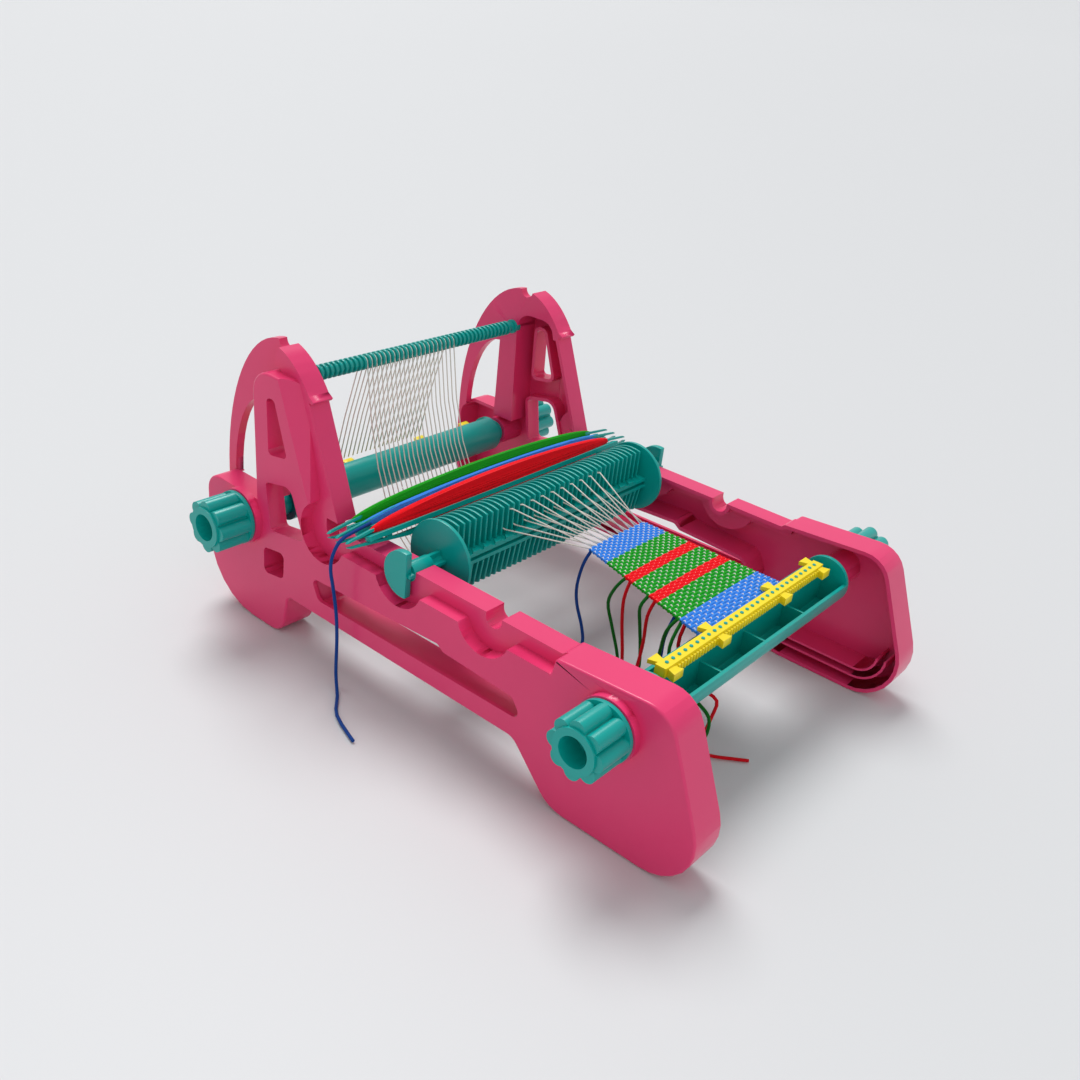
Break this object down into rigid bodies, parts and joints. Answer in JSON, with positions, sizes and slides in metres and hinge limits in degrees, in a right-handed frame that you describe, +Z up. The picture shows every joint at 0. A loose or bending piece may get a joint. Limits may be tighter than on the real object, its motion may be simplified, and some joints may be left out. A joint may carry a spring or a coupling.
{
  "type": "table loom",
  "caption": "Table loom: moulded side frames with a tower, turning beams with lobed knobs, a rocking heddle, wound shuttles and a part-finished striped cloth",
  "frame": {"origin": "middle of the box round the loom without its loose yarn ends, on the table", "axes": "X across the loom, Y from the weaver to the tower, Z up"},
  "size_m": [0.3415, 0.4062, 0.1969],
  "materials": {
    "pink_plastic": "moulded, soft gloss",
    "teal_plastic": "moulded, soft gloss",
    "yellow_plastic": "moulded, soft gloss",
    "red_yarn": "twisted yarn",
    "blue_yarn": "twisted yarn",
    "green_yarn": "twisted yarn",
    "warp_thread": "smooth thread",
    "striped_cloth": "plain weave in stripes"
  },
  "bodies": {
    "frame": {"side_frame_left": "pink_plastic", "side_frame_right": "pink_plastic", "thread_rod": "teal_plastic", "woven_cloth": "striped_cloth", "warp_behind_rod": "warp_thread", "warp_rod_to_heddle": "warp_thread", "warp_heddle_to_cloth": "warp_thread", "tail_blue_back": "blue_yarn", "tail_green_back": "green_yarn", "tail_red_back": "red_yarn", "tail_green_mid": "green_yarn", "tail_red_mid": "red_yarn", "tail_green_front": "green_yarn", "tail_blue_front": "blue_yarn", "tail_green_beam": "green_yarn", "tail_red_beam": "red_yarn"},
    "warp_roller": {"warp_beam": "teal_plastic", "warp_beam_axle_left": "teal_plastic", "warp_beam_axle_right": "teal_plastic", "warp_knob_left": "teal_plastic", "warp_knob_right": "teal_plastic", "warp_comb": "yellow_plastic"},
    "cloth_roller": {"cloth_beam": "teal_plastic", "cloth_beam_axle_left": "teal_plastic", "cloth_beam_axle_right": "teal_plastic", "cloth_knob_left": "teal_plastic", "cloth_knob_right": "teal_plastic", "cloth_comb": "yellow_plastic"},
    "heddle": {"heddle_spine": "teal_plastic", "heddle_upper_fins": "teal_plastic", "heddle_lower_fins": "teal_plastic", "heddle_disc_left": "teal_plastic", "heddle_disc_right": "teal_plastic", "heddle_handle_left": "teal_plastic", "heddle_handle_right": "teal_plastic"},
    "red_shuttle": {"shuttle_red": "teal_plastic", "winding_red": "red_yarn"},
    "blue_shuttle": {"shuttle_blue": "teal_plastic", "winding_blue": "blue_yarn", "tail_blue_shuttle": "blue_yarn"},
    "green_shuttle": {"shuttle_green": "teal_plastic", "winding_green": "green_yarn"}
  },
  "joints": [
    {"name": "warp_beam_turn", "type": "hinge", "parent": "frame", "child": "warp_roller", "pos_m": [0, 0.1625, 0.076], "axis": [1, 0, 0], "continuous": true, "deforming": ["warp_behind_rod"]},
    {"name": "cloth_beam_turn", "type": "hinge", "parent": "frame", "child": "cloth_roller", "pos_m": [0, -0.1425, 0.076], "axis": [1, 0, 0], "continuous": true, "deforming": ["woven_cloth"]},
    {"name": "heddle_turn", "type": "hinge", "parent": "frame", "child": "heddle", "pos_m": [0, 0.017, 0.093], "axis": [1, 0, 0], "range_deg": [-45, 45], "deforming": ["warp_rod_to_heddle", "warp_heddle_to_cloth"]},
    {"name": "red_shuttle_lift", "type": "slide", "parent": "frame", "child": "red_shuttle", "axis": [0, 0.3649, 0.9311], "range_m": [0, 0.045]},
    {"name": "blue_shuttle_lift", "type": "slide", "parent": "frame", "child": "blue_shuttle", "axis": [0, 0.3649, 0.9311], "range_m": [0, 0.045]},
    {"name": "green_shuttle_lift", "type": "slide", "parent": "frame", "child": "green_shuttle", "axis": [0, 0.3649, 0.9311], "range_m": [0, 0.045]}
  ]
}
